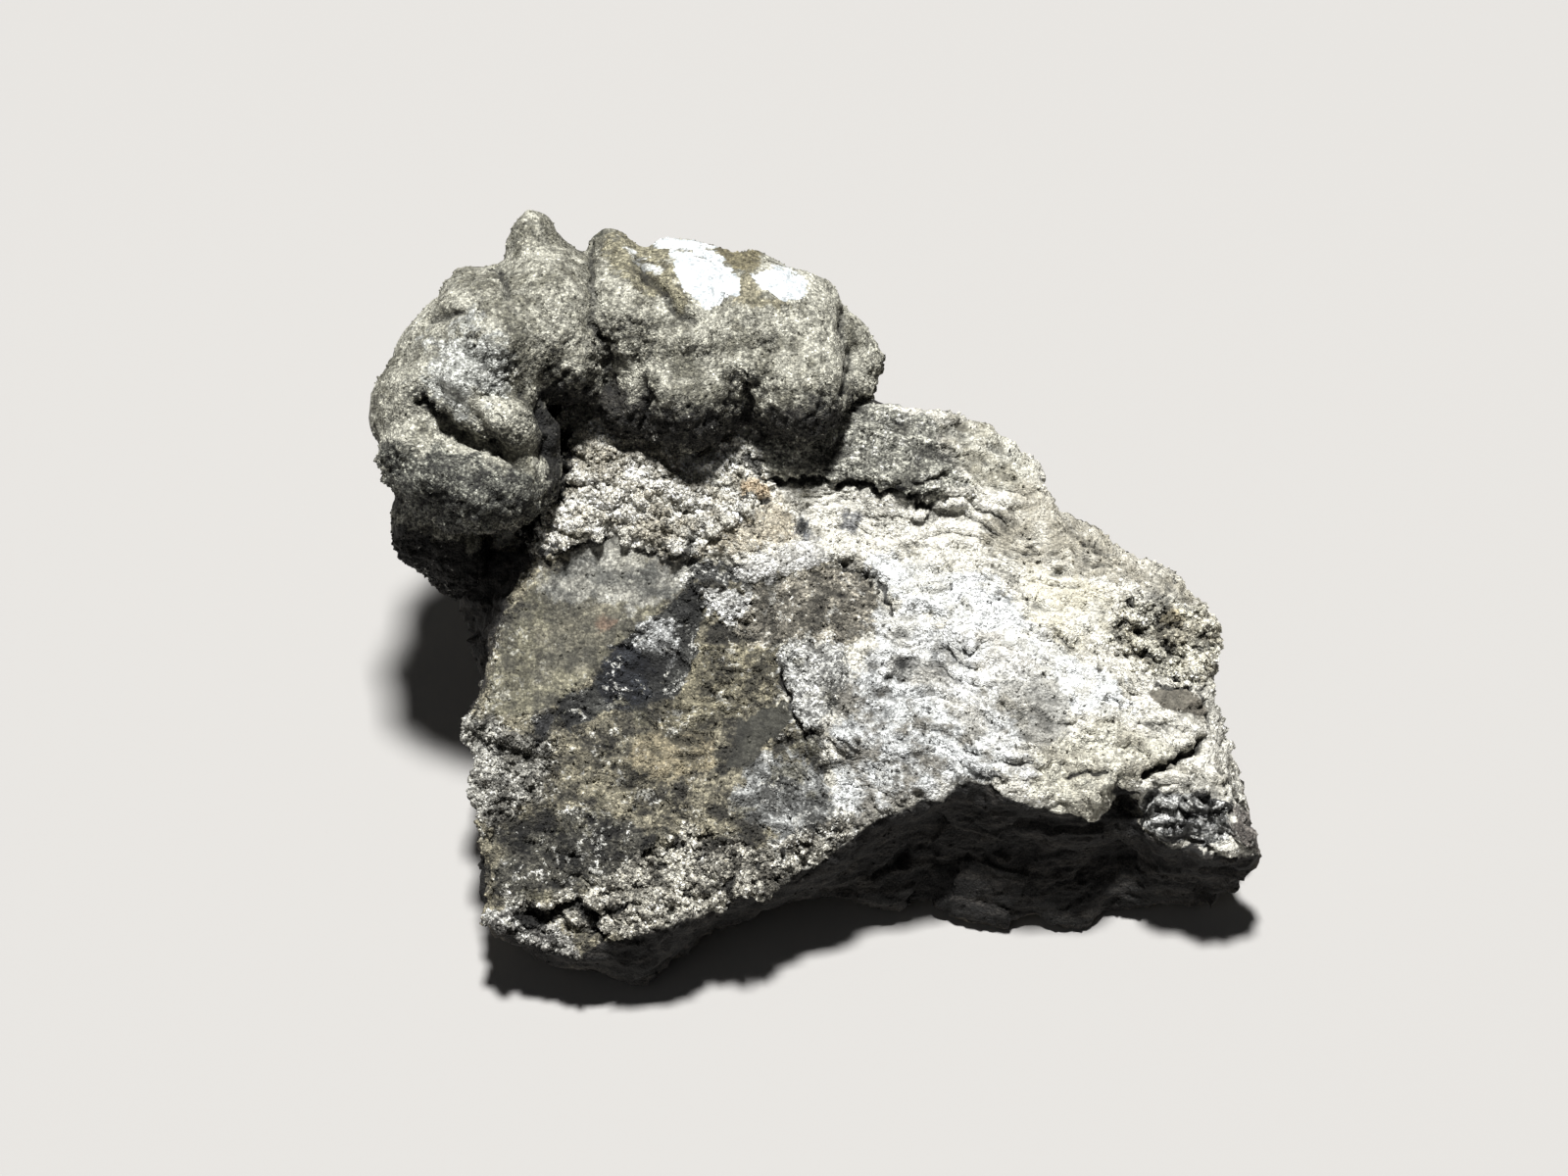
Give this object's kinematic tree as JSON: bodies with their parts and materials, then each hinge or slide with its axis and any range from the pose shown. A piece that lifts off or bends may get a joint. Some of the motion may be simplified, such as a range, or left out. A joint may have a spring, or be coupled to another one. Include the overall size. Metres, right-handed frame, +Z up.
{
  "type": "boussingaultite mineral specimen",
  "caption": "Hand-size specimen of grey-beige botryoidal boussingaultite, grown over the top edge of a broken slab of white-crusted host rock, resting on its flat underside.",
  "frame": {"origin": "centre of the bottom of the specimen's box, on the plane that it rests on", "axes": "+Z up, +X to the right along the slab as seen from the front, +Y to the back, where the crust stands"},
  "size_m": [0.0999, 0.0768, 0.0561],
  "materials": {
    "host_rock": "rough broken rock with a dull white and cream crust, dark grey-brown below",
    "boussingaultite": "dull, finely sugary grey-beige mineral, bright white where it is broken"
  },
  "bodies": {
    "root": {"matrix": "host_rock", "boussingaultite_crust": "boussingaultite"}
  },
  "joints": []
}
